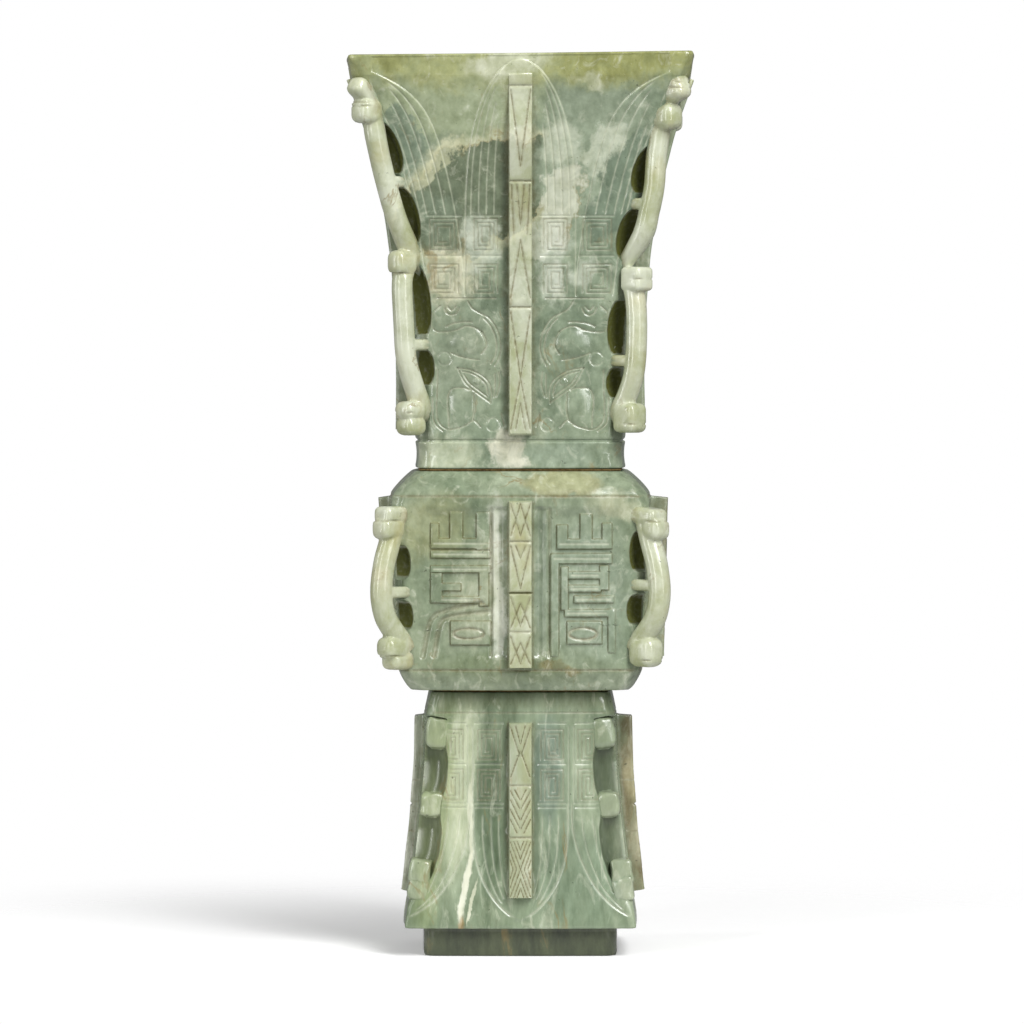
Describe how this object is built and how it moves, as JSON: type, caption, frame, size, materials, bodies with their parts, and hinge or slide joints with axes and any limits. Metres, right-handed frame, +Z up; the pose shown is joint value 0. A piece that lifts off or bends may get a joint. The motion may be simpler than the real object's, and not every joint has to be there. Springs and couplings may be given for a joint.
{
  "type": "vase",
  "caption": "Tall rectangular beaker vase in carved green nephrite: flared trumpet, swelling knop and splayed foot, with ridged flanges and openwork dragon loops on the corners.",
  "frame": {"origin": "middle of the plinth's underside, on the surface the vase stands on", "axes": "+Z up the vase, +X across the broad front to the viewer's right, the front face towards -Y"},
  "size_m": [0.1168, 0.094, 0.3],
  "materials": {
    "nephrite": "polished, waxy",
    "cement": "dull, dry"
  },
  "bodies": {
    "root": {"trumpet_section": "nephrite", "knop_section": "nephrite", "foot_section": "nephrite", "upper_joint_cement": "cement", "lower_joint_cement": "cement"}
  },
  "joints": []
}
